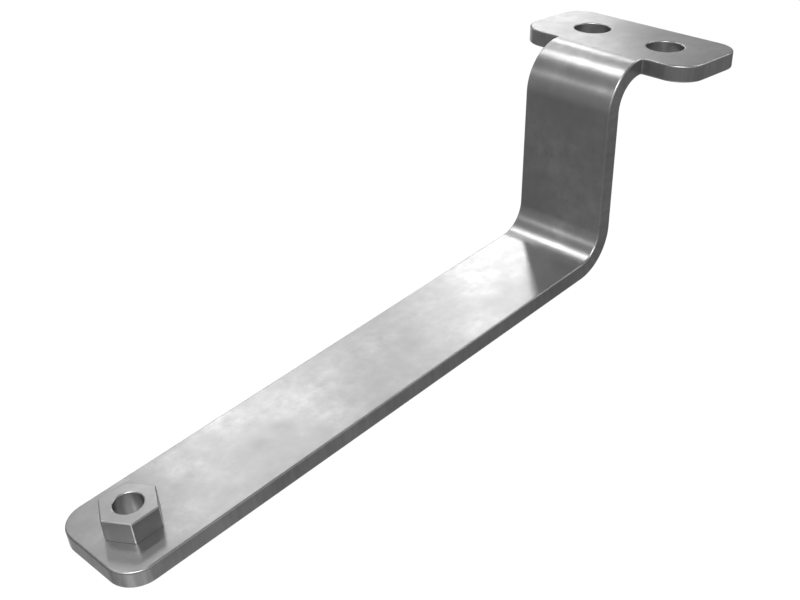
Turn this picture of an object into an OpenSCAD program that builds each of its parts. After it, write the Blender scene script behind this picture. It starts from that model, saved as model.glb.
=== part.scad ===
// Support bracket: a flat steel strip bent twice, with a wide fixing tab at its top
// and a hexagon weld nut near the free end of its long arm. Sizes are in millimetres.
//
// The origin is midway between the two fixing holes, on the underside of the tab.
// +Z is square to the tab and points up, and +X points away from the arm, so the web
// drops from the front of the tab and the arm reaches out and down towards -X.
// The bracket is the same on both sides of the X-Z plane.

/* [Strip] */
// Width of the arm and the web
strip_w = 25; // [20:0.5:32]
// Thickness of the strip
strip_t = 4; // [3:0.5:5]
// Radius that tumbling leaves on every edge
edge_r = 0.3; // [0.1:0.05:0.5]

/* [Bends] */
// Radius on the inside of both bends
bend_r = 7.5; // [5:0.5:10]
// Straight height of the web between its two bends
web_h = 29; // [15:0.5:60]
// Angle by which the arm slopes down from the plane of the tab
arm_slope = 7.64; // [0:0.01:15]

/* [Arm] */
// Straight length of the arm, from its free end to the lower bend
arm_l = 134.3; // [60:0.1:200]
// Radius of the two corners at the free end
arm_corner_r = 6.25; // [2:0.25:9]

/* [Fixing tab] */
// Width of the tab
tab_w = 50; // [46:1:80]
// Depth of the tab, from the upper bend to its back edge
tab_l = 23.5; // [20:0.5:40]
// Radius of the two corners beside the web
tab_front_r = 6.6; // [2:0.1:9]
// Radius of the two corners at the back edge
tab_back_r = 6.3; // [2:0.1:9]
// Diameter of the fixing holes, a clearance hole for an 8 mm screw
fix_hole_d = 9; // [6:0.1:10]
// Distance between the centres of the fixing holes
fix_hole_gap = 21.7; // [16:0.1:26]
// Distance from the fixing holes' centres to the back edge
fix_hole_back = 12; // [9:0.5:14]

/* [Weld nut] */
// Width of the nut across its flats
nut_af = 11.3; // [10:0.1:13]
// Height of the nut above the arm
nut_h = 5; // [4:0.1:7]
// Diameter of the nut's bore, for a 6 mm screw
nut_bore_d = 6.1; // [5:0.1:6.6]
// Distance from the arm's free end to the nut's axis
nut_from_end = 10.6; // [10:0.1:20]
// Diameter of the collar that centres the nut in the arm
collar_d = 8; // [7.5:0.1:9]
// Depth to which the collar reaches into the arm
collar_h = 1.4; // [1:0.1:2]
// Play between the collar and its hole, all round
collar_play = 0.05; // [0.05:0.05:0.2]

/* [Hidden] */
// Fineness of round outlines
$fn = 96;
// How far a cutter runs past the face that it opens
over = 1;
// Radius on the outside of both bends
bend_outer_r = bend_r + strip_t;
// The tab's front and back edges along X
tab_x0 = fix_hole_back - tab_l;
tab_x1 = fix_hole_back;
// Axis of the upper bend, under the tab's front edge
upper_bend_x = tab_x0;
upper_bend_z = -bend_r;
// Front face of the web along X
web_x0 = upper_bend_x - bend_outer_r;
// Axis of the lower bend, in front of the foot of the web
lower_bend_x = web_x0 - bend_r;
lower_bend_z = upper_bend_z - web_h;
// Place of the nut's axis along the arm, from the lower bend's axis
nut_x = nut_from_end - arm_l;
// Hole in the arm that takes the nut's collar
collar_hole_d = collar_d + 2 * collar_play;
// Every node of the part

// Rectangle from 0,0 to w,h with all four corners rounded
module rounded_section(w, h) {
    translate([edge_r, 0]) square([w - 2 * edge_r, h]);
    translate([0, edge_r]) square([w, h - 2 * edge_r]);
    for (x = [edge_r, w - edge_r])
        for (y = [edge_r, h - edge_r])
            translate([x, y]) circle(r = edge_r);
}

// Half section of a disc, with its rim rounded top and bottom
module disc_section(r, h) {
    square([r - edge_r, h]);
    translate([0, edge_r]) square([r, h - 2 * edge_r]);
    for (y = [edge_r, h - edge_r])
        intersection() {
            translate([r - edge_r, y]) circle(r = edge_r);
            square([r, h]);
        }
}

// Disc standing on Z = 0, which rounds the corner of a plate
module corner_disc(x, y, r, h) {
    translate([x, y, 0]) rotate_extrude() disc_section(r, h);
}

// Bar along X from x0 to x1, centred on Y and standing on Z = 0
module bar_x(x0, x1, w, h) {
    translate([x0, -w / 2, 0])
        rotate([90, 0, 90]) linear_extrude(x1 - x0) rounded_section(w, h);
}

// Bar along Y of length l, centred on Y, from x0 to x1, standing on Z = 0
module bar_y(x0, x1, l, h) {
    translate([x0, l / 2, 0])
        rotate([90, 0, 0]) linear_extrude(l) rounded_section(x1 - x0, h);
}

// Half section of a drill that leaves rounded rims on a plate from Z = 0 to Z = h
module drill_section(r, h) {
    translate([0, -over]) square([r, h + 2 * over]);
    difference() {
        translate([0, -over]) square([r + edge_r, h + 2 * over]);
        translate([r + edge_r, edge_r]) circle(r = edge_r);
        translate([r + edge_r, h - edge_r]) circle(r = edge_r);
        translate([r, edge_r]) square([2 * edge_r, h - 2 * edge_r]);
    }
}

// The drill itself, on an axis at x, y
module drill(x, y, d, h) {
    translate([x, y, 0]) rotate_extrude() drill_section(d / 2, h);
}

// The strip bent round the Y axis into a full ring, from which each bend is cut
module ring() {
    rotate([90, 0, 0]) rotate_extrude()
        translate([bend_r, -strip_w / 2]) rounded_section(strip_t, strip_w);
}

// Block that fills one side of the Y-Z plane and one side of the X-Y plane,
// where side_x and side_z are -1 or 1
module quarter_block(side_x, side_z) {
    size = 2 * strip_w;
    translate([side_x * size / 2, 0, side_z * size / 2]) cube(size, center = true);
}

// Puts its children on the arm: X runs along it from the lower bend's axis,
// and Z = 0 is the arm's underside
module on_arm() {
    translate([lower_bend_x, 0, lower_bend_z])
        rotate([0, -arm_slope, 0])
            translate([0, 0, -bend_outer_r]) children();
}

// The long arm, with two rounded corners at its free end
module arm() {
    corner_x = arm_corner_r - arm_l;
    corner_y = strip_w / 2 - arm_corner_r;
    bar_x(corner_x, 0, strip_w, strip_t);
    bar_y(-arm_l, corner_x + arm_corner_r, 2 * corner_y, strip_t);
    for (side = [-1, 1])
        corner_disc(corner_x, side * corner_y, arm_corner_r, strip_t);
}

// The upper bend, a quarter of a ring between the web and the tab
module upper_bend() {
    translate([upper_bend_x, 0, upper_bend_z]) intersection() {
        ring();
        quarter_block(-1, 1);
    }
}

// The lower bend, the part of a ring that is below the web and past the arm
module lower_bend() {
    intersection() {
        translate([lower_bend_x, 0, lower_bend_z]) intersection() {
            ring();
            quarter_block(1, -1);
        }
        on_arm() translate([strip_w, 0, 0]) cube(2 * strip_w, center = true);
    }
}

// The upright web between the two bends
module web() {
    translate([web_x0, -strip_w / 2, lower_bend_z])
        linear_extrude(web_h) rounded_section(strip_t, strip_w);
}

// The wide tab, with four rounded corners
module tab() {
    front_x = tab_x0 + tab_front_r;
    back_x = tab_x1 - tab_back_r;
    front_y = tab_w / 2 - tab_front_r;
    back_y = tab_w / 2 - tab_back_r;
    bar_x(front_x, back_x, tab_w, strip_t);
    bar_y(tab_x0, front_x + tab_front_r, 2 * front_y, strip_t);
    bar_y(back_x - tab_back_r, tab_x1, 2 * back_y, strip_t);
    for (side = [-1, 1]) {
        corner_disc(front_x, side * front_y, tab_front_r, strip_t);
        corner_disc(back_x, side * back_y, tab_back_r, strip_t);
    }
    bar_x(tab_x0, front_x, strip_w, strip_t);
}

// The bent strip in one piece, with its three holes
module bracket() {
    color([0.62, 0.63, 0.64]) difference() {
        union() {
            tab();
            upper_bend();
            web();
            lower_bend();
            on_arm() arm();
        }
        for (side = [-1, 1])
            drill(0, side * fix_hole_gap / 2, fix_hole_d, strip_t);
        on_arm() drill(nut_x, 0, collar_hole_d, strip_t);
    }
}

// Hexagon prism standing on Z = 0, with two corners on X. Three crossed bars round its
// top and bottom edges, and a cylinder takes the sharpness off its upright edges
module rounded_hexagon(af, h) {
    sharp_r = af / 2 / cos(30);
    corner_r = sharp_r - edge_r * (1 / cos(30) - 1);
    intersection() {
        bar_x(-af, af, af, h);
        rotate([0, 0, 60]) bar_x(-af, af, af, h);
        rotate([0, 0, 120]) bar_x(-af, af, af, h);
        cylinder(r = corner_r, h = h);
    }
}

// The nut, with the collar that drops into the arm
module weld_nut() {
    color([0.66, 0.67, 0.68]) on_arm() translate([nut_x, 0, strip_t]) difference() {
        union() {
            rounded_hexagon(nut_af, nut_h);
            translate([0, 0, -collar_h]) cylinder(d = collar_d, h = collar_h + edge_r);
        }
        translate([0, 0, -collar_h]) drill(0, 0, nut_bore_d, nut_h + collar_h);
    }
}

bracket();
weld_nut();
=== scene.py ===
"""Support bracket: a flat steel strip bent twice, with a wide fixing tab and a weld nut.

The strip starts as the flat blank that a workshop would cut, with its holes and its
tumbled edges, and a Geometry Nodes tree folds it at its two bends. The nut is one closed
skin that runs from its bore over its top, down its flats and round its collar.

The bracket's sizes are in millimetres, and become metres where its meshes are made. The
studio's are in metres, and the finishes' patterns are in repeats per metre.
"""

import logging
import math
from collections.abc import Iterable, Sequence
from dataclasses import dataclass, field
from enum import Enum

import bpy
from mathutils import Matrix, Vector
from mathutils.geometry import tessellate_polygon


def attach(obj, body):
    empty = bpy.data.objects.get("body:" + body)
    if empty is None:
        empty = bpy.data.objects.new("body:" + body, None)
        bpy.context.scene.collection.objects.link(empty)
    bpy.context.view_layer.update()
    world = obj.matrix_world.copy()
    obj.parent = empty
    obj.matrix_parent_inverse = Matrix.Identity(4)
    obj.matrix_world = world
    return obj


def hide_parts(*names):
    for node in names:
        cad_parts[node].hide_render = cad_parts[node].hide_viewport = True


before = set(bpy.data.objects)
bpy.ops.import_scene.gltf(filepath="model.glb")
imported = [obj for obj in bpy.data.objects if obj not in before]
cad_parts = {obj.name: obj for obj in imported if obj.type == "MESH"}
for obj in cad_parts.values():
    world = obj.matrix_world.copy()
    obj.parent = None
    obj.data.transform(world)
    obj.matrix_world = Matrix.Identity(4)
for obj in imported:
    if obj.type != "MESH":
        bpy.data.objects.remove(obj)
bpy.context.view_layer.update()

MM = 0.001
BODY = "root"
IMAGE_WIDTH = 800
FACING = "facing"
LAY = "lay"
WALL = "wall"
RIM = "rim"

log = logging.getLogger("support_bracket")


class Slot(Enum):
    """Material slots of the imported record."""

    STRIP = "strip_steel"
    NUT = "nut_steel"


class Node(Enum):
    """CAD nodes that the dressed pieces stand for."""

    BRACKET = "bracket"
    WELD_NUT = "weld_nut"


@dataclass(frozen=True)
class EdgePoint:
    """A point on the outline of a plate, with the direction that leads out of the steel."""

    x: float
    y: float
    out_x: float
    out_y: float

    def inset(self, depth: float) -> tuple[float, float]:
        """Return the place that lies this deep inside the steel."""
        return self.x - self.out_x * depth, self.y - self.out_y * depth


def arc(x: float, y: float, radius: float, start: float, end: float,
        steps: int) -> list[EdgePoint]:
    """Round a corner.

    Args:
        x: Centre of the arc along the plate.
        y: Centre of the arc across the plate.
        radius: Radius of the corner, less than 0 where the centre is outside the steel, as on
            an inside corner or in a hole.
        start: First direction out of the steel, in degrees.
        end: Last direction out of the steel, in degrees.
        steps: Number of facets.

    Returns:
        Points in order, from the first direction to the last.
    """
    points = []
    for step in range(steps + 1):
        angle = math.radians(start + (end - start) * step / steps)
        out_x = math.cos(angle)
        out_y = math.sin(angle)
        points.append(EdgePoint(x + radius * out_x, y + radius * out_y, out_x, out_y))
    return points


def straight(first: EdgePoint, last: EdgePoint, steps: int) -> list[EdgePoint]:
    """Divide a straight edge between two points that face the same way.

    Args:
        first: Point at the start of the edge.
        last: Point at its end.
        steps: Number of facets.

    Returns:
        The points between the two, in order.
    """
    points = []
    for step in range(1, steps):
        part = step / steps
        points.append(EdgePoint(first.x + (last.x - first.x) * part,
                                first.y + (last.y - first.y) * part,
                                first.out_x, first.out_y))
    return points


def hole(x: float, y: float, diameter: float, steps: int = 96) -> list[EdgePoint]:
    """Return the outline of a round hole, in the order that keeps the steel on its left."""
    return arc(x, y, -diameter / 2, 0, -360, steps)[:-1]


@dataclass
class Skin:
    """A closed skin of points, with the way that each faces, and the faces between them."""

    points: list[Vector] = field(default_factory=list)
    facing: list[Vector] = field(default_factory=list)
    faces: list[tuple[int, ...]] = field(default_factory=list)

    def ring(self, stations: Iterable[tuple[Vector, Vector]]) -> list[int]:
        """Add a ring of points.

        Args:
            stations: Place and facing direction of each point.

        Returns:
            Index of each new point.
        """
        first = len(self.points)
        for place, facing in stations:
            self.points.append(place)
            self.facing.append(facing)
        return list(range(first, len(self.points)))

    def band(self, low: Sequence[int], high: Sequence[int]) -> None:
        """Join two rings of equal length with a closed band of faces.

        Args:
            low: Ring on the lower side, as seen from outside with its points running right.
            high: Ring on the upper side.
        """
        count = len(low)
        for here in range(count):
            there = (here + 1) % count
            self.faces.append((low[here], low[there], high[there], high[here]))

    def flat(self, outline: Sequence[int], holes: Sequence[Sequence[int]], up: bool) -> None:
        """Fill a flat part of the skin.

        Args:
            outline: Outer loop of points.
            holes: Loops that stay open.
            up: Whether the part faces the positive height, or else the negative.
        """
        loops = [list(outline), *[list(loop) for loop in holes]]
        index = [point for loop in loops for point in loop]
        veclists = [[self.points[point] for point in loop] for loop in loops]
        for triangle in tessellate_polygon(veclists):
            a, b, c = (index[corner] for corner in triangle)
            side = (self.points[b] - self.points[a]).cross(self.points[c] - self.points[a])
            if side.length_squared == 0:
                continue
            if (side.z > 0) != up:
                b, c = c, b
            self.faces.append((a, b, c))

    def quad(self, corners: tuple[int, int, int, int], up: bool) -> None:
        """Add one flat four-sided face, given anticlockwise as seen from above."""
        self.faces.append(corners if up else corners[::-1])

    def mesh(self, name: str) -> bpy.types.Mesh:
        """Make the mesh, in metres, with attributes that the fold and the finish read.

        They are the facing of each point, its place before the piece is folded or placed,
        how much it belongs to an upright wall, and how much to a rounded rim.

        Args:
            name: Name of the mesh.

        Returns:
            The new mesh.
        """
        mesh = bpy.data.meshes.new(name)
        mesh.from_pydata([point * MM for point in self.points], [], self.faces)
        for label, ways, size in ((FACING, self.facing, 1.0), (LAY, self.points, MM)):
            attribute = mesh.attributes.new(label, "FLOAT_VECTOR", "POINT")
            attribute.data.foreach_set("vector", [part * size for way in ways for part in way])
        walls = [way.x * way.x + way.y * way.y for way in self.facing]
        # A rim counts fully where it faces halfway between flat and upright.
        rims = [4 * wall * (1 - wall) for wall in walls]
        for label, shares in ((WALL, walls), (RIM, rims)):
            attribute = mesh.attributes.new(label, "FLOAT", "POINT")
            attribute.data.foreach_set("value", shares)
        return mesh

    def place(self, mesh: bpy.types.Mesh, turn: Matrix) -> None:
        """Move a finished mesh, and turn its facing with it, but keep the finish where it is.

        Args:
            mesh: Mesh made from this skin.
            turn: Turn and place, in millimetres.
        """
        way_turn = turn.to_3x3()
        moved = [(turn @ point) * MM for point in self.points]
        turned = [way_turn @ way for way in self.facing]
        facing = mesh.attributes[FACING].data
        mesh.vertices.foreach_set("co", [part for point in moved for part in point])
        facing.foreach_set("vector", [part for way in turned for part in way])


def finish_normals(mesh: bpy.types.Mesh) -> None:
    """Turn the facing attribute into the mesh's own smooth normals, and drop it.

    Args:
        mesh: Mesh that still has the attribute.
    """
    facing = [tuple(item.vector) for item in mesh.attributes[FACING].data]
    mesh.shade_smooth()
    mesh.normals_split_custom_set_from_vertices(facing)
    mesh.attributes.remove(mesh.attributes[FACING])
    mesh.validate(clean_customdata=False)


def add_piece(name: str, mesh: bpy.types.Mesh) -> bpy.types.Object:
    """Put a mesh into the scene as an object at the origin.

    Args:
        name: Name of the object.
        mesh: Its mesh, already in its place.

    Returns:
        The new object.
    """
    piece = bpy.data.objects.new(name, mesh)
    bpy.context.scene.collection.objects.link(piece)
    return piece


class Term:
    """A number inside a node tree, on which arithmetic adds Math nodes."""

    def __init__(self, tree: bpy.types.NodeTree, socket: bpy.types.NodeSocket) -> None:
        """Hold the tree and the socket that gives the number."""
        self.tree = tree
        self.socket = socket

    def combine(self, operation: str, *others: "Term | float") -> "Term":
        """Add a Math node.

        Args:
            operation: Name of the node's operation.
            *others: Further numbers or terms that it takes.

        Returns:
            The node's result.
        """
        node = self.tree.nodes.new("ShaderNodeMath")
        node.operation = operation
        for socket, value in zip(node.inputs, (self, *others)):
            if isinstance(value, Term):
                self.tree.links.new(value.socket, socket)
            else:
                socket.default_value = value
        return Term(self.tree, node.outputs[0])

    def __add__(self, other: "Term | float") -> "Term":
        """Return the sum."""
        return self.combine("ADD", other)

    def __sub__(self, other: "Term | float") -> "Term":
        """Return the difference."""
        return self.combine("SUBTRACT", other)

    def __mul__(self, other: "Term | float") -> "Term":
        """Return the product."""
        return self.combine("MULTIPLY", other)

    def __truediv__(self, other: "Term | float") -> "Term":
        """Return the quotient."""
        return self.combine("DIVIDE", other)

    def between(self, low: "Term | float", high: "Term | float") -> "Term":
        """Return the number, held between two limits."""
        return self.larger(low).combine("MINIMUM", high)

    def ramp(self, start: float, end: float) -> "Term":
        """Add a soft step.

        Args:
            start: Number at which the step is still 0.
            end: Number at which it has reached 1.

        Returns:
            The step.
        """
        node = self.tree.nodes.new("ShaderNodeMapRange")
        node.interpolation_type = "SMOOTHSTEP"
        node.inputs["From Min"].default_value = start
        node.inputs["From Max"].default_value = end
        self.tree.links.new(self.socket, node.inputs["Value"])
        return Term(self.tree, node.outputs["Result"])

    def larger(self, other: "Term | float") -> "Term":
        """Return the larger of two numbers."""
        return self.combine("MAXIMUM", other)

    def absolute(self) -> "Term":
        """Return the number without its sign."""
        return self.combine("ABSOLUTE")

    def root(self) -> "Term":
        """Return the square root."""
        return self.combine("SQRT")

    def inverse(self) -> "Term":
        """Return one divided by the number."""
        return self.combine("POWER", -1.0)

    def sine(self) -> "Term":
        """Return the sine of the angle."""
        return self.combine("SINE")

    def cosine(self) -> "Term":
        """Return the cosine of the angle."""
        return self.combine("COSINE")


@dataclass
class FoldRule:
    """Geometry Nodes tree that folds a flat blank at its two bends.

    The blank lies along X with its underside at Z = 0. It turns up at the lower bend and
    back to level at the upper one, and the middle of its thickness keeps its length.
    """

    name: str = "fold_strip"
    inputs: tuple[str, ...] = ("Start X", "Start Z", "Arm Slope", "Thickness", "Bend Radius",
                               "Arm Length", "Lower Bend", "Web Length", "Upper Bend")

    def build(self, material: bpy.types.Material) -> bpy.types.NodeTree:
        """Build the tree.

        Args:
            material: Finish that the tree gives to the folded strip.

        Returns:
            The new tree.
        """
        tree = bpy.data.node_groups.new(self.name, "GeometryNodeTree")
        tree.interface.new_socket("Geometry", in_out="INPUT", socket_type="NodeSocketGeometry")
        for label in self.inputs:
            tree.interface.new_socket(label, in_out="INPUT", socket_type="NodeSocketFloat")
        tree.interface.new_socket("Geometry", in_out="OUTPUT", socket_type="NodeSocketGeometry")
        new = tree.nodes.new
        link = tree.links.new
        entry = new("NodeGroupInput")
        (start_x, start_z, slope, thickness, bend_radius, arm_length, lower_bend, web_length,
         upper_bend) = (Term(tree, entry.outputs[label]) for label in self.inputs)

        split = new("ShaderNodeSeparateXYZ")
        link(new("GeometryNodeInputPosition").outputs[0], split.inputs[0])
        along, across, height = (Term(tree, socket) for socket in split.outputs)

        middle = bend_radius + thickness / 2
        on_arm = along.between(0, arm_length)
        past_arm = along - arm_length
        lower_turn = (past_arm / middle).between(0, lower_bend)
        past_lower = past_arm - middle * lower_bend
        on_web = past_lower.between(0, web_length)
        past_web = past_lower - web_length
        upper_turn = (past_web / middle).between(0, upper_bend)
        on_tab = (past_web - middle * upper_bend).between(0, 1)

        after_lower = slope + lower_turn
        web_way = slope + lower_bend
        way = after_lower - upper_turn
        tab_way = web_way - upper_bend
        upper_way = web_way - upper_turn
        place_x = (start_x + on_arm * slope.cosine()
                   + middle * (after_lower.sine() - slope.sine())
                   + on_web * web_way.cosine()
                   + middle * (web_way.sine() - upper_way.sine())
                   + on_tab * tab_way.cosine())
        place_z = (start_z + on_arm * slope.sine()
                   + middle * (slope.cosine() - after_lower.cosine())
                   + on_web * web_way.sine()
                   + middle * (upper_way.cosine() - web_way.cosine())
                   + on_tab * tab_way.sine())

        layer = new("ShaderNodeCombineXYZ")
        link(across.socket, layer.inputs["Y"])
        link((height - thickness / 2).socket, layer.inputs["Z"])
        middle_line = new("ShaderNodeCombineXYZ")
        link(place_x.socket, middle_line.inputs["X"])
        link(place_z.socket, middle_line.inputs["Z"])
        facing = new("GeometryNodeInputNamedAttribute")
        facing.data_type = "FLOAT_VECTOR"
        facing.inputs["Name"].default_value = FACING

        turned = []
        for source in (layer.outputs[0], facing.outputs["Attribute"]):
            turn = new("ShaderNodeVectorRotate")
            turn.rotation_type = "Y_AXIS"
            link(source, turn.inputs["Vector"])
            link((way * -1).socket, turn.inputs["Angle"])
            turned.append(turn.outputs[0])
        folded = new("ShaderNodeVectorMath")
        folded.operation = "ADD"
        link(turned[0], folded.inputs[0])
        link(middle_line.outputs[0], folded.inputs[1])

        store = new("GeometryNodeStoreNamedAttribute")
        store.data_type = "FLOAT_VECTOR"
        store.inputs["Name"].default_value = FACING
        link(entry.outputs["Geometry"], store.inputs["Geometry"])
        link(turned[1], store.inputs["Value"])
        move = new("GeometryNodeSetPosition")
        link(store.outputs[0], move.inputs["Geometry"])
        link(folded.outputs[0], move.inputs["Position"])
        realize = new("GeometryNodeRealizeInstances")
        link(move.outputs[0], realize.inputs[0])
        dress = new("GeometryNodeSetMaterial")
        dress.inputs["Material"].default_value = material
        link(realize.outputs[0], dress.inputs["Geometry"])
        link(dress.outputs[0], new("NodeGroupOutput").inputs[0])
        return tree


def read_attribute(tree: bpy.types.NodeTree, name: str, output: str) -> bpy.types.NodeSocket:
    """Read one of the mesh's own attributes in a material.

    Args:
        tree: Node tree of the material.
        name: Name of the attribute.
        output: Output of the node that fits the attribute's kind.

    Returns:
        The attribute's socket.
    """
    node = tree.nodes.new("ShaderNodeAttribute")
    node.attribute_type = "GEOMETRY"
    node.attribute_name = name
    return node.outputs[output]


@dataclass(frozen=True)
class Pattern:
    """A noise pattern that lies on the flat blank.

    Its layers get finer, each as strong as layer_strength times the one before. A
    height_scale under 1 draws the pattern out into streaks through the plate.
    """

    scale: float
    layers: float
    layer_strength: float
    height_scale: float = 1.0

    def build(self, tree: bpy.types.NodeTree) -> Term:
        """Add the pattern to a material.

        Args:
            tree: Node tree of the material.

        Returns:
            The pattern, about -0.5 to 0.5.
        """
        scale = self.scale
        mapping = tree.nodes.new("ShaderNodeMapping")
        # The blank is moved away from the noise's own origin, where all patterns agree.
        mapping.inputs["Location"].default_value = (scale, -scale, scale / 2)
        mapping.inputs["Scale"].default_value = (scale, scale, scale * self.height_scale)
        tree.links.new(read_attribute(tree, LAY, "Vector"), mapping.inputs["Vector"])
        noise = tree.nodes.new("ShaderNodeTexNoise")
        noise.inputs["Scale"].default_value = 1.0
        noise.inputs["Detail"].default_value = self.layers
        noise.inputs["Roughness"].default_value = self.layer_strength
        tree.links.new(mapping.outputs[0], noise.inputs["Vector"])
        return Term(tree, noise.outputs[0]) - 0.5


@dataclass(frozen=True)
class SatinSteel:
    """Satin steel with the soft clouds that rolling leaves, and cut marks on its edges.

    Every pattern lies on the flat blank, so it follows the strip round its bends. The specks
    are strong where the clouds are light. The cut marks are strongest round the two corners
    of the toe, which is the arm's free end. The rounded rims are a little darker, as painted
    shade.
    """

    name: str
    tone: tuple[float, float, float] = (0.42, 0.42, 0.42)
    grazing_tint: float = 0.85
    rim_painted_shade: float = 0.9
    clouds: Pattern = Pattern(60.0, 3.0, 0.6)
    cloud_depth: float = 0.34
    specks: Pattern = Pattern(260.0, 4.0, 0.65)
    speck_depth: float = 0.31
    patch_contrast: float = 5.0
    patch_level: float = 0.6
    patch_limits: tuple[float, float] = (0.2, 1.6)
    cuts: Pattern = Pattern(800.0, 3.0, 0.6, 0.10)
    cut_depth: float = 0.25
    toe_cuts: float = 1.0
    toe_corner: float = 6.25 * MM
    toe_fade: float = 0.2
    roughness: float = 0.315
    roughness_swing: float = 0.028
    roughness_least: float = 0.285
    grain: Pattern = Pattern(2600.0, 2.0, 0.5)
    grain_bump: float = 0.02
    grain_height: float = 0.1 * MM

    def cut_marks(self, tree: bpy.types.NodeTree) -> Term:
        """Add the cut marks, which are stronger on the toe's corners.

        Args:
            tree: Node tree of the material.

        Returns:
            The marks, as if every face were a wall.
        """
        split = tree.nodes.new("ShaderNodeSeparateXYZ")
        tree.links.new(read_attribute(tree, LAY, "Vector"), split.inputs[0])
        along = Term(tree, split.outputs[0])
        across = Term(tree, split.outputs[1]).absolute()
        on_corner = (along.ramp(self.toe_corner, self.toe_corner * (1 - self.toe_fade))
                     * across.ramp(self.toe_corner, self.toe_corner * (1 + self.toe_fade)))
        return self.cuts.build(tree) * (on_corner * self.toe_cuts + 1.0)

    def shade(self, tree: bpy.types.NodeTree, clouds: Term, specks: Term) -> Term:
        """Work out how light or dark each place is, with painted shade on the rounded rims.

        Args:
            tree: Node tree of the material.
            clouds: Pattern of the clouds.
            specks: Pattern of the specks.

        Returns:
            The factor on the tone, about 1.
        """
        wall = Term(tree, read_attribute(tree, WALL, "Fac"))
        rim = Term(tree, read_attribute(tree, RIM, "Fac"))
        patchy = (clouds * self.patch_contrast + self.patch_level).between(*self.patch_limits)
        shade = (clouds * (2 * self.cloud_depth)
                 + specks * patchy * (2 * self.speck_depth)
                 + self.cut_marks(tree) * wall * (2 * self.cut_depth)
                 + 1.0)
        # The rounded rims are darkened a little: painted shade along the edges.
        return shade * (rim * (self.rim_painted_shade - 1.0) + 1.0)

    def build(self) -> bpy.types.Material:
        """Build the material.

        Returns:
            The new material.
        """
        material = bpy.data.materials.new(self.name)
        material.use_nodes = True
        tree = material.node_tree
        shader = tree.nodes["Principled BSDF"]
        shader.inputs["Metallic"].default_value = 1.0
        shader.inputs["Specular Tint"].default_value = (*(self.grazing_tint,) * 3, 1.0)

        clouds = self.clouds.build(tree)
        specks = self.specks.build(tree)
        colour = tree.nodes.new("ShaderNodeVectorMath")
        colour.operation = "SCALE"
        colour.inputs[0].default_value = self.tone
        tree.links.new(self.shade(tree, clouds, specks).socket, colour.inputs["Scale"])
        tree.links.new(colour.outputs[0], shader.inputs["Base Color"])

        rough = (clouds + specks) * (-2 * self.roughness_swing) + self.roughness
        rough = rough.between(self.roughness_least, 1.0)
        tree.links.new(rough.socket, shader.inputs["Roughness"])

        bump = tree.nodes.new("ShaderNodeBump")
        bump.inputs["Strength"].default_value = self.grain_bump
        bump.inputs["Distance"].default_value = self.grain_height
        tree.links.new(self.grain.build(tree).socket, bump.inputs["Height"])
        tree.links.new(bump.outputs[0], shader.inputs["Normal"])
        return material


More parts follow.
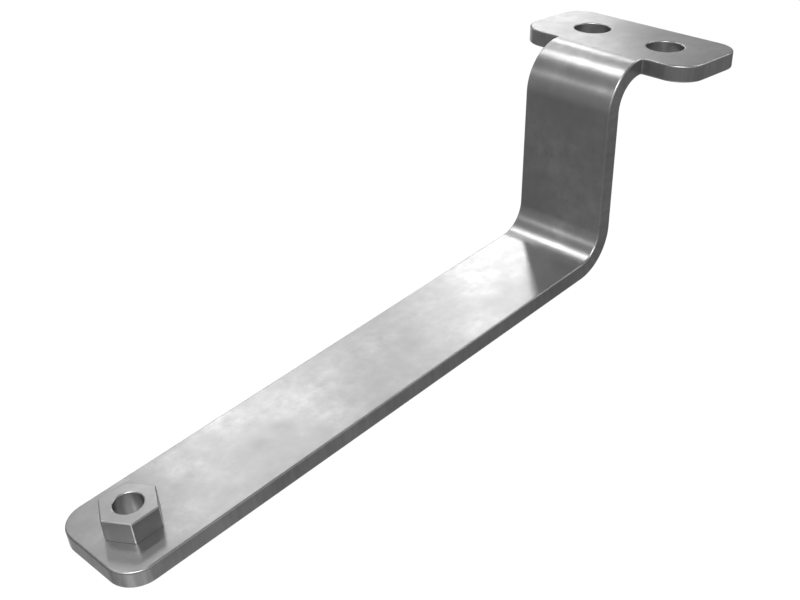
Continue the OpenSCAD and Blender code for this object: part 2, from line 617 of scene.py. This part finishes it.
@dataclass
class Strip:
    """The bent strip: long arm, lower bend, web, upper bend and fixing tab."""

    width: float = 25.0
    thickness: float = 4.0
    edge_radius: float = 0.4
    hole_edge_radius: float = 0.3
    bend_radius: float = 7.5
    arm_length: float = 134.3
    arm_slope: float = 7.64
    arm_corner: float = 6.25
    web_length: float = 29.0
    tab_width: float = 50.0
    tab_length: float = 23.5
    tab_front_corner: float = 6.6
    tab_back_corner: float = 6.3
    neck_corner: float = 0.3
    fixing_hole: float = 9.0
    fixing_gap: float = 21.7
    fixing_from_back: float = 12.0
    collar_hole: float = 8.1
    nut_from_end: float = 10.6
    bend_facets: int = 30
    edge_facets: int = 5
    corner_facets: int = 16
    neck_facets: int = 4

    @property
    def lower_bend(self) -> float:
        """Angle through which the lower bend turns, in radians."""
        return math.radians(90 - self.arm_slope)

    @property
    def upper_bend(self) -> float:
        """Angle through which the upper bend turns, in radians."""
        return math.radians(90)

    @property
    def middle_radius(self) -> float:
        """Radius of both bends in the middle of the strip."""
        return self.bend_radius + self.thickness / 2

    @property
    def web_start(self) -> float:
        """Place on the flat blank where the web starts."""
        return self.arm_length + self.middle_radius * self.lower_bend

    @property
    def tab_start(self) -> float:
        """Place on the flat blank where the tab starts."""
        return self.web_start + self.web_length + self.middle_radius * self.upper_bend

    @property
    def arm_frame(self) -> Matrix:
        """Turn and place of the arm: X runs from its free end, Z = 0 is its underside."""
        outer = self.bend_radius + self.thickness
        tab_front = self.fixing_from_back - self.tab_length
        lower_bend = Vector((tab_front - outer - self.bend_radius, 0.0,
                             -self.bend_radius - self.web_length))
        return (Matrix.Translation(lower_bend)
                @ Matrix.Rotation(math.radians(-self.arm_slope), 4, "Y")
                @ Matrix.Translation((-self.arm_length, 0.0, -outer)))

    def columns(self) -> list[float]:
        """Divide the blank where it bends.

        Returns:
            Places along the blank, over the lower bend and then over the upper one.
        """
        upper_start = self.web_start + self.web_length
        stretches = ((self.arm_length, self.web_start),
                     (upper_start, self.tab_start - self.neck_corner))
        return [start + (end - start) * step / self.bend_facets
                for start, end in stretches
                for step in range(self.bend_facets + 1)]

    def blank(self) -> Skin:
        """Build the flat blank with its holes and its rounded edges.

        Returns:
            The closed skin, still flat.
        """
        half = self.width / 2
        wing = self.tab_width / 2
        steps = self.corner_facets
        start = self.tab_start
        end = start + self.tab_length
        front = self.tab_front_corner
        back = self.tab_back_corner
        neck = self.neck_corner
        corner = self.arm_corner
        places = self.columns()
        toe = (arc(corner, half - corner, corner, 90, 180, steps)
               + arc(corner, corner - half, corner, 180, 270, steps))
        right = [EdgePoint(place, -half, 0.0, -1.0) for place in places]
        head = (arc(start - neck, -half - neck, -neck, 270, 180, self.neck_facets)[1:]
                + arc(start + front, front - wing, front, 180, 270, steps)
                + arc(end - back, back - wing, back, 270, 360, steps)
                + arc(end - back, wing - back, back, 0, 90, steps)
                + arc(start + front, wing - front, front, 90, 180, steps)
                + arc(start - neck, half + neck, -neck, 180, 90, self.neck_facets)[:-1])
        left = [EdgePoint(place, half, 0.0, 1.0) for place in reversed(places)]
        hole_x = end - self.fixing_from_back
        outlines = [
            toe + right + head + left,
            hole(self.nut_from_end, 0.0, self.collar_hole),
            hole(hole_x, -self.fixing_gap / 2, self.fixing_hole),
            hole(hole_x, self.fixing_gap / 2, self.fixing_hole),
        ]
        skin = Skin()
        rims = [self.edge(skin, outline, self.hole_edge_radius if number else self.edge_radius)
                for number, outline in enumerate(outlines)]
        count = len(places)
        first = len(toe)
        for side, up in ((0, False), (1, True)):
            # The ring runs as its outline does: toe, right side, head and left side.
            rim = rims[0][side]
            right_side = rim[first:first + count]
            left_side = rim[-1:-count - 1:-1]
            skin.flat(rim[:first] + [right_side[0], left_side[0]], [rims[1][side]], up)
            for here in range(count - 1):
                there = here + 1
                skin.quad((right_side[here], right_side[there], left_side[there],
                           left_side[here]), up)
            tab_loop = rim[first + count - 1:-count] + [left_side[-1]]
            skin.flat(tab_loop, [rims[2][side], rims[3][side]], up)
        return skin

    def edge(self, skin: Skin, outline: list[EdgePoint],
             radius: float) -> tuple[list[int], list[int]]:
        """Build the wall of the plate along one outline, with its edges rounded.

        Args:
            skin: Skin that the wall is added to.
            outline: Outer outline, or a hole's.
            radius: Radius of the rounded edges.

        Returns:
            The rings of points on the underside and on the top.
        """
        stations = []
        for step in range(self.edge_facets + 1):
            angle = math.radians(90 * step / self.edge_facets)
            stations.append((radius * (1 - math.sin(angle)), radius * (1 - math.cos(angle)),
                             math.sin(angle), -math.cos(angle)))
        stations += [(depth, self.thickness - height, flat, -steep)
                     for depth, height, flat, steep in reversed(stations)]
        rings = []
        for depth, height, flat, steep in stations:
            rings.append(skin.ring(
                (Vector((*point.inset(depth), height)),
                 Vector((point.out_x * flat, point.out_y * flat, steep)))
                for point in outline))
        for low, high in zip(rings, rings[1:]):
            skin.band(low, high)
        return rings[0], rings[-1]

    def build(self, finish: bpy.types.Material) -> bpy.types.Object:
        """Fold the blank and put the strip in the scene.

        Args:
            finish: Material of the strip.

        Returns:
            The finished piece.
        """
        flat = add_piece("flat_blank", self.blank().mesh("flat_blank"))
        start = self.arm_frame @ Vector((0.0, 0.0, self.thickness / 2))
        sizes = {
            "Start X": start.x * MM,
            "Start Z": start.z * MM,
            "Arm Slope": math.radians(self.arm_slope),
            "Thickness": self.thickness * MM,
            "Bend Radius": self.bend_radius * MM,
            "Arm Length": self.arm_length * MM,
            "Lower Bend": self.lower_bend,
            "Web Length": self.web_length * MM,
            "Upper Bend": self.upper_bend,
        }
        fold = flat.modifiers.new("fold", "NODES")
        fold.node_group = FoldRule().build(finish)
        for item in fold.node_group.interface.items_tree:
            if item.in_out == "INPUT" and item.name in sizes:
                fold[item.identifier] = sizes[item.name]
        graph = bpy.context.evaluated_depsgraph_get()
        mesh = bpy.data.meshes.new_from_object(flat.evaluated_get(graph))
        mesh.name = "bent_strip"
        flat.modifiers.remove(fold)
        bpy.data.objects.remove(flat)
        finish_normals(mesh)
        return add_piece("bent_strip", mesh)


@dataclass
class WeldNut:
    """The hexagon weld nut, with the collar that centres it in the arm."""

    sides: int = 6
    across_flats: float = 11.3
    height: float = 5.0
    bore: float = 6.1
    edge_radius: float = 0.3
    foot_radius: float = 0.12
    corner_radius: float = 0.4
    collar: float = 8.0
    collar_depth: float = 1.4
    collar_bevel: float = 0.1
    edge_facets: int = 5
    side_facets: int = 10
    corner_facets: int = 4

    def hexagon(self) -> list[EdgePoint]:
        """Draw the rounded hexagon, with two of its corners on X.

        Returns:
            Points of the outline, anticlockwise.
        """
        turn = 360 / self.sides
        reach = (self.across_flats / 2 - self.corner_radius) / math.cos(math.radians(turn / 2))
        corners = []
        for side in range(self.sides):
            way = turn * side
            angle = math.radians(way)
            corners.append(arc(reach * math.cos(angle), reach * math.sin(angle),
                               self.corner_radius, way - turn / 2, way + turn / 2,
                               self.corner_facets))
        points = []
        for corner, following in zip(corners, corners[1:] + corners[:1]):
            points += corner
            points += straight(corner[-1], following[0], self.side_facets)
        return points

    def skin(self) -> Skin:
        """Build the nut standing on Z = 0, as one closed skin round its bore.

        Returns:
            The closed skin.
        """
        outline = self.hexagon()
        spokes = [Vector((point.x, point.y, 0.0)).normalized() for point in outline]
        quarter = [math.radians(90 * step / self.edge_facets)
                   for step in range(self.edge_facets + 1)]
        radius = self.edge_radius
        bore = self.bore / 2
        collar = self.collar / 2
        skin = Skin()
        rings = []

        def round_ring(reach: float, height: float, out: float, up: float) -> None:
            """Add a circle of points.

            Args:
                reach: Radius of the circle.
                height: Its height over the arm.
                out: How much it faces out from the axis.
                up: How much it faces up.
            """
            rings.append(skin.ring(
                (spoke * reach + Vector((0.0, 0.0, height)),
                 spoke * out + Vector((0.0, 0.0, up)))
                for spoke in spokes))

        def hexagon_ring(depth: float, height: float, out: float, up: float) -> None:
            """Add a hexagon of points.

            Args:
                depth: How deep it lies inside the nut's outline.
                height: Its height over the arm.
                out: How much it faces out of the outline.
                up: How much it faces up.
            """
            rings.append(skin.ring(
                (Vector((*point.inset(depth), height)),
                 Vector((point.out_x * out, point.out_y * out, up)))
                for point in outline))

        for angle in quarter:
            round_ring(bore + radius * (1 - math.cos(angle)),
                       self.height - radius * (1 - math.sin(angle)),
                       -math.cos(angle), math.sin(angle))
        for angle in reversed(quarter):
            hexagon_ring(radius * (1 - math.cos(angle)),
                         self.height - radius * (1 - math.sin(angle)),
                         math.cos(angle), math.sin(angle))
        foot = self.foot_radius
        for angle in quarter:
            hexagon_ring(foot * (1 - math.cos(angle)), foot * (1 - math.sin(angle)),
                         math.cos(angle), -math.sin(angle))
        bevel = self.collar_bevel
        round_ring(collar + bevel, 0.0, 0.0, -1.0)
        round_ring(collar, -bevel, 1.0, 0.0)
        round_ring(collar, bevel - self.collar_depth, 1.0, 0.0)
        round_ring(collar - bevel, -self.collar_depth, 0.0, -1.0)
        for angle in reversed(quarter):
            round_ring(bore + radius * (1 - math.cos(angle)),
                       -self.collar_depth + radius * (1 - math.sin(angle)),
                       -math.cos(angle), -math.sin(angle))
        for inner, outer in zip(rings, rings[1:] + rings[:1]):
            skin.band(outer, inner)
        return skin

    def build(self, strip: Strip, finish: bpy.types.Material) -> bpy.types.Object:
        """Place the nut on the arm.

        Args:
            strip: The strip that carries the nut.
            finish: Material of the nut.

        Returns:
            The finished piece.
        """
        skin = self.skin()
        mesh = skin.mesh("weld_nut_body")
        skin.place(mesh, strip.arm_frame
                   @ Matrix.Translation((strip.nut_from_end, 0.0, strip.thickness)))
        finish_normals(mesh)
        mesh.materials.append(finish)
        return add_piece("weld_nut_body", mesh)


@dataclass(frozen=True)
class SoftBox:
    """A rectangular soft lamp, placed by its direction from the bracket.

    The direction, and the width and height that the bracket sees, are in degrees. The
    brightness is the same for a lamp of any size, and the distance is in metres.
    """

    name: str
    azimuth: float
    elevation: float
    width: float
    height: float
    brightness: float
    distance: float = 5.0

    def build(self, target: Vector) -> bpy.types.Object:
        """Hang the lamp so that it faces the bracket.

        Args:
            target: Point that the lamp faces.

        Returns:
            The lamp.
        """
        azimuth = math.radians(self.azimuth)
        elevation = math.radians(self.elevation)
        away = Vector((math.cos(elevation) * math.cos(azimuth),
                       math.cos(elevation) * math.sin(azimuth), math.sin(elevation)))
        data = bpy.data.lights.new(self.name, "AREA")
        data.shape = "RECTANGLE"
        data.size = 2 * self.distance * math.tan(math.radians(self.width / 2))
        data.size_y = 2 * self.distance * math.tan(math.radians(self.height / 2))
        data.energy = self.brightness * math.pi * data.size * data.size_y
        lamp = bpy.data.objects.new(self.name, data)
        lamp.location = target + away * self.distance
        lamp.visible_camera = False
        lamp.rotation_euler = away.to_track_quat("Z", "Y").to_euler()
        bpy.context.scene.collection.objects.link(lamp)
        return lamp


@dataclass(frozen=True)
class FloorPaper:
    """Finish of the floor: white where the camera looks, and soft grey elsewhere.

    The camera sees it mostly as a glow of a set grey, and so does the steel. The rest is
    plain paper, which takes the lamps' light and keeps the bracket's shadow.
    """

    wall_grey: float
    pool_start: tuple[float, float]
    name: str = "floor_paper"
    tone: tuple[float, float, float] = (0.8, 0.8, 0.8)
    floor_grey: float = 0.18
    near_grey: float = 0.8
    near_spread: float = 2.8
    near_place: tuple[float, float] = (-0.17, -0.15)
    far_fade: tuple[float, float] = (1.8, 8.0)
    pool_heading: float = 45.0
    pool_spread: float = 0.28
    pool_side: tuple[float, float] = (0.20, 1.35)
    pool_near: tuple[float, float] = (0.35, 1.05)
    pool_far: tuple[float, float] = (4.0, 6.0)
    shadow_share: float = 0.15
    lit_paper: float = 0.8
    white: float = 1.03

    def pool(self, tree: bpy.types.NodeTree, place: bpy.types.NodeSocket) -> Term:
        """Draw the white pool, which widens from its start and has soft edges.

        Args:
            tree: Node tree of the material.
            place: Place on the floor.

        Returns:
            Share of white, 0 to 1.
        """
        mapping = tree.nodes.new("ShaderNodeMapping")
        mapping.vector_type = "TEXTURE"
        mapping.inputs["Location"].default_value = (*self.pool_start, 0.0)
        mapping.inputs["Rotation"].default_value = (0.0, 0.0, math.radians(self.pool_heading))
        tree.links.new(place, mapping.inputs["Vector"])
        split = tree.nodes.new("ShaderNodeSeparateXYZ")
        tree.links.new(mapping.outputs[0], split.inputs[0])
        ahead = Term(tree, split.outputs[0])
        aside = Term(tree, split.outputs[1]).absolute()
        beside = aside - ahead * self.pool_spread
        return (beside.ramp(self.pool_side[1], self.pool_side[0])
                * ahead.ramp(*self.pool_near)
                * ahead.ramp(self.pool_far[1], self.pool_far[0]))

    def grey(self, tree: bpy.types.NodeTree, place: bpy.types.NodeSocket) -> Term:
        """Draw the grey outside the pool: light below the bracket, then dark, then as the walls.

        Args:
            tree: Node tree of the material.
            place: Place on the floor.

        Returns:
            The grey that is seen, paper and glow together.
        """
        split = tree.nodes.new("ShaderNodeSeparateXYZ")
        tree.links.new(place, split.inputs[0])
        floor_x = Term(tree, split.outputs[0])
        floor_y = Term(tree, split.outputs[1])
        # A painted pool of light on the floor below the bracket, which the steel reflects.
        near_x = floor_x - self.near_place[0]
        near_y = floor_y - self.near_place[1]
        fall = (near_x * near_x + near_y * near_y) * self.near_spread
        near_glow = (fall * fall + 1.0).inverse() * self.near_grey
        reach = (floor_x * floor_x + floor_y * floor_y).root()
        # Far out the lamps no longer light the paper, so the glow makes up for it.
        unlit = self.shadow_share * self.lit_paper * (1 - self.wall_grey)
        far_glow = reach.ramp(*self.far_fade) * (self.wall_grey - self.floor_grey + unlit)
        return near_glow + far_glow + self.floor_grey

    def build(self) -> bpy.types.Material:
        """Build the material.

        Returns:
            The new material.
        """
        material = bpy.data.materials.new(self.name)
        material.use_nodes = True
        tree = material.node_tree
        tree.nodes.clear()
        place = tree.nodes.new("ShaderNodeTexCoord").outputs["Object"]
        grey = self.grey(tree, place)
        whole = self.pool(tree, place) * (grey * -1 + self.white) + grey
        strength = (whole - self.shadow_share * self.lit_paper) / (1 - self.shadow_share)
        glow = tree.nodes.new("ShaderNodeEmission")
        tree.links.new(strength.socket, glow.inputs["Strength"])
        paper = tree.nodes.new("ShaderNodeBsdfDiffuse")
        paper.inputs["Color"].default_value = (*self.tone, 1.0)

        rays = tree.nodes.new("ShaderNodeLightPath")
        seen = Term(tree, rays.outputs["Is Camera Ray"])
        for kind in ("Is Glossy Ray", "Is Transmission Ray"):
            seen = seen.larger(Term(tree, rays.outputs[kind]))
        mix = tree.nodes.new("ShaderNodeMixShader")
        tree.links.new((seen * (1 - self.shadow_share)).socket, mix.inputs[0])
        tree.links.new(paper.outputs[0], mix.inputs[1])
        tree.links.new(glow.outputs[0], mix.inputs[2])
        output = tree.nodes.new("ShaderNodeOutputMaterial")
        tree.links.new(mix.outputs[0], output.inputs["Surface"])
        return material


@dataclass
class Studio:
    """Plain pale floor, soft lamps, and the camera at the photograph's place."""

    target: tuple[float, float, float] = (-0.075, 0.0, -0.03)
    floor_height: float = -0.9
    floor_reach: float = 60.0
    wall_grey: float = 0.31
    lamps: tuple[SoftBox, ...] = (
        SoftBox("back_panel", 38.0, 16.0, 6.0, 19.0, 2.4),
        SoftBox("back_spot", 46.0, 32.0, 4.0, 19.0, 8.8),
        SoftBox("far_panel", 64.0, 40.0, 8.5, 13.5, 4.0),
        SoftBox("top_strip", 98.5, 59.5, 13.0, 4.0, 19.5),
        SoftBox("side_panel", 146.5, 27.5, 9.0, 5.0, 4.7),
        SoftBox("low_panel", 32.0, 7.0, 11.0, 10.0, 0.7),
        SoftBox("left_panel", 195.0, 22.0, 50.0, 36.0, 0.6),
        SoftBox("right_fill", 270.0, 14.0, 50.0, 20.0, 0.9),
        SoftBox("far_fill", 90.0, 12.0, 40.0, 16.0, 0.9),
        SoftBox("right_key", -14.0, 46.0, 22.0, 20.0, 5.0),
        SoftBox("front_key", -143.0, 48.0, 38.0, 18.0, 10.5),
        SoftBox("toe_card", -151.0, -48.0, 14.0, 16.0, 0.5, 1.0),
        SoftBox("side_card", -101.0, -45.0, 13.0, 16.0, 0.3, 1.05),
        SoftBox("end_card", 103.0, -46.0, 10.0, 16.0, 0.12, 1.05),
        SoftBox("tab_card", -28.0, -18.0, 14.0, 14.0, 0.12, 2.5),
    )
    camera_place: tuple[float, float, float] = (-0.25397, -0.17441, 0.09405)
    camera_heading: float = 44.899
    camera_drop: float = 28.342
    camera_roll: float = 0.156
    camera_reach: tuple[float, float] = (0.01, 100.0)
    sensor_width: float = 36.0
    focal_pixels: float = 1263.0

    def camera(self) -> bpy.types.Object:
        """Set up the camera at the photograph's place and angle.

        Returns:
            The camera.
        """
        data = bpy.data.cameras.new("photo_camera")
        data.sensor_fit = "HORIZONTAL"
        data.sensor_width = self.sensor_width
        data.lens = self.sensor_width * self.focal_pixels / IMAGE_WIDTH
        data.clip_start, data.clip_end = self.camera_reach
        camera = bpy.data.objects.new("photo_camera", data)
        camera.matrix_world = (
            Matrix.Translation(self.camera_place)
            @ Matrix.Rotation(math.radians(self.camera_heading - 90), 4, "Z")
            @ Matrix.Rotation(math.radians(90 - self.camera_drop), 4, "X")
            @ Matrix.Rotation(math.radians(self.camera_roll), 4, "Z"))
        bpy.context.scene.collection.objects.link(camera)
        bpy.context.scene.camera = camera
        return camera

    def floor(self) -> bpy.types.Object:
        """Lay the floor, whose white pool spreads from below the camera.

        Returns:
            The floor.
        """
        reach = self.floor_reach
        height = self.floor_height
        mesh = bpy.data.meshes.new("floor")
        mesh.from_pydata([(-reach, -reach, height), (reach, -reach, height),
                          (reach, reach, height), (-reach, reach, height)],
                         [], [(0, 1, 2, 3)])
        mesh.materials.append(FloorPaper(self.wall_grey, self.camera_place[:2]).build())
        floor = add_piece("floor", mesh)
        return floor

    def world(self) -> None:
        """Give the studio's walls their even grey."""
        world = bpy.data.worlds.new("studio")
        world.use_nodes = True
        background = world.node_tree.nodes["Background"]
        background.inputs["Color"].default_value = (1.0, 1.0, 1.0, 1.0)
        background.inputs["Strength"].default_value = self.wall_grey
        bpy.context.scene.world = world

    def build(self) -> None:
        """Set up the whole studio."""
        self.camera()
        self.floor()
        self.world()
        for lamp in self.lamps:
            lamp.build(Vector(self.target))
        bpy.context.scene.view_settings.view_transform = "Standard"


def declare(piece: bpy.types.Object, node: Node) -> None:
    """Attach a piece to the body, hide the CAD node that it stands for, and report it.

    Args:
        piece: Finished piece.
        node: CAD node that it replaces.
    """
    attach(piece, BODY)
    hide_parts(node.value)
    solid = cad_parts[node.value]
    log.info("%s: %d faces, for the CAD node %s",
             piece.name, len(piece.data.polygons), solid.name)


def main() -> None:
    """Build the studio and the pieces of the bracket, in order."""
    logging.basicConfig(level=logging.INFO, format="%(name)s: %(message)s")
    Studio().build()
    strip = Strip()
    declare(strip.build(SatinSteel("strip_satin_steel").build()), Node.BRACKET)
    nut = WeldNut()
    nut_steel = SatinSteel("nut_satin_steel", cut_depth=0.10, toe_cuts=0.0)
    declare(nut.build(strip, nut_steel.build()), Node.WELD_NUT)


if __name__ == "__main__":
    main()
